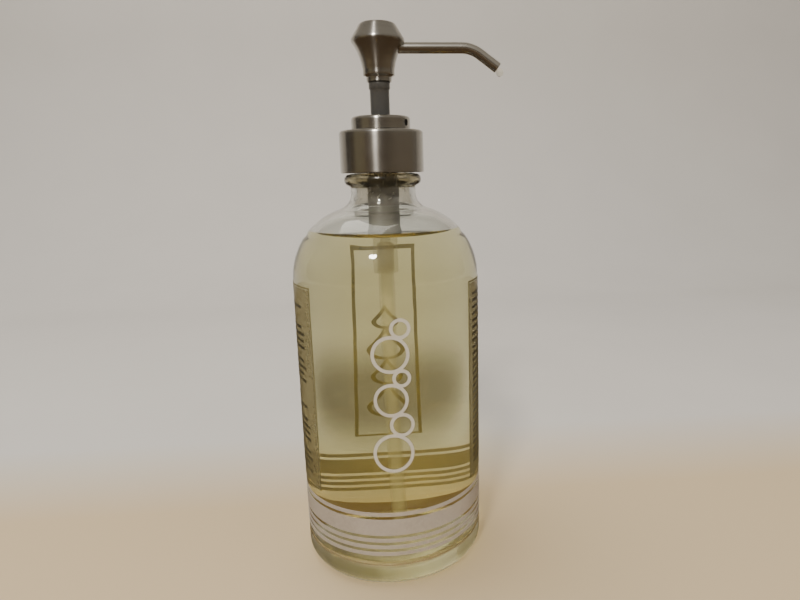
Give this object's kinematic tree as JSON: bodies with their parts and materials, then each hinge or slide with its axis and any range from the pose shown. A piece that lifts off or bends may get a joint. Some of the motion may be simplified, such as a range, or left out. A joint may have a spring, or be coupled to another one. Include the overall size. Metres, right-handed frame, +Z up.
{
  "type": "liquid soap bottle",
  "caption": "Clear round-shouldered glass bottle of yellow liquid soap with a brushed steel screw-on pump and a bent spout.",
  "frame": {"origin": "centre of the whole outline, spout included, on the surface that the bottle stands on; the axis of the bottle is 5.525 mm to -X of it", "axes": "+Z up along the axis of the bottle, the printed front faces -Y, the spout points to +X"},
  "size_m": [0.086, 0.075, 0.214],
  "materials": {
    "clear_glass": "polished",
    "soap": "clear liquid",
    "pale_ink": "fired print",
    "white_ink": "fired print",
    "brown_ink": "fired print",
    "panel_ink": "translucent print",
    "brushed_steel": "turned and brushed",
    "polished_steel": "polished",
    "grey_plastic": "satin",
    "natural_plastic": "translucent",
    "gasket_foam": "soft"
  },
  "bodies": {
    "bottle": {"glass_bottle": "clear_glass", "liquid_soap": "soap", "stripe_line_1": "pale_ink", "stripe_line_2": "pale_ink", "stripe_line_3": "pale_ink", "stripe_band": "pale_ink", "stripe_hairline": "pale_ink", "front_bubbles": "white_ink", "back_frame": "brown_ink", "back_drops": "brown_ink", "left_panel": "panel_ink", "left_border": "brown_ink", "right_panel": "panel_ink", "right_border": "brown_ink"},
    "pump_body": {"gasket": "gasket_foam", "housing": "natural_plastic", "dip_tube": "natural_plastic", "collar_core": "grey_plastic", "collar_shell": "brushed_steel"},
    "closure": {"cap_liner": "natural_plastic", "cap_shell": "brushed_steel"},
    "check_ball": {"inlet_ball": "polished_steel"},
    "piston": {"piston_seal": "natural_plastic", "poppet": "natural_plastic", "spring": "polished_steel"},
    "actuator": {"stem": "grey_plastic", "head_core": "grey_plastic", "head_shell": "brushed_steel", "spout": "polished_steel", "soap_drop": "soap"}
  },
  "joints": [
    {"name": "pump_rise", "type": "slide", "parent": "bottle", "child": "pump_body", "axis": [0, 0, 1], "range_m": [0, 0.0053]},
    {"name": "closure_turn", "type": "hinge", "parent": "pump_body", "child": "closure", "pos_m": [-0.00553, 0, 0.1588], "axis": [0, 0, 1], "range_deg": [0, 450]},
    {"name": "ball_lift", "type": "slide", "parent": "pump_body", "child": "check_ball", "axis": [0, 0, 1], "range_m": [0, 0.0025]},
    {"name": "pump_stroke", "type": "slide", "parent": "pump_body", "child": "piston", "axis": [0, 0, 1], "range_m": [-0.01, 0], "stiffness_N_per_m": 400, "springref_m": 0.01, "deforming": ["spring"]},
    {"name": "head_swivel", "type": "hinge", "parent": "piston", "child": "actuator", "pos_m": [-0.00553, 0, 0.2], "axis": [0, 0, 1], "continuous": true}
  ],
  "couplings": [
    {"joint": "pump_rise", "follows": "closure_turn", "m_per_rad": 0.0006737}
  ]
}
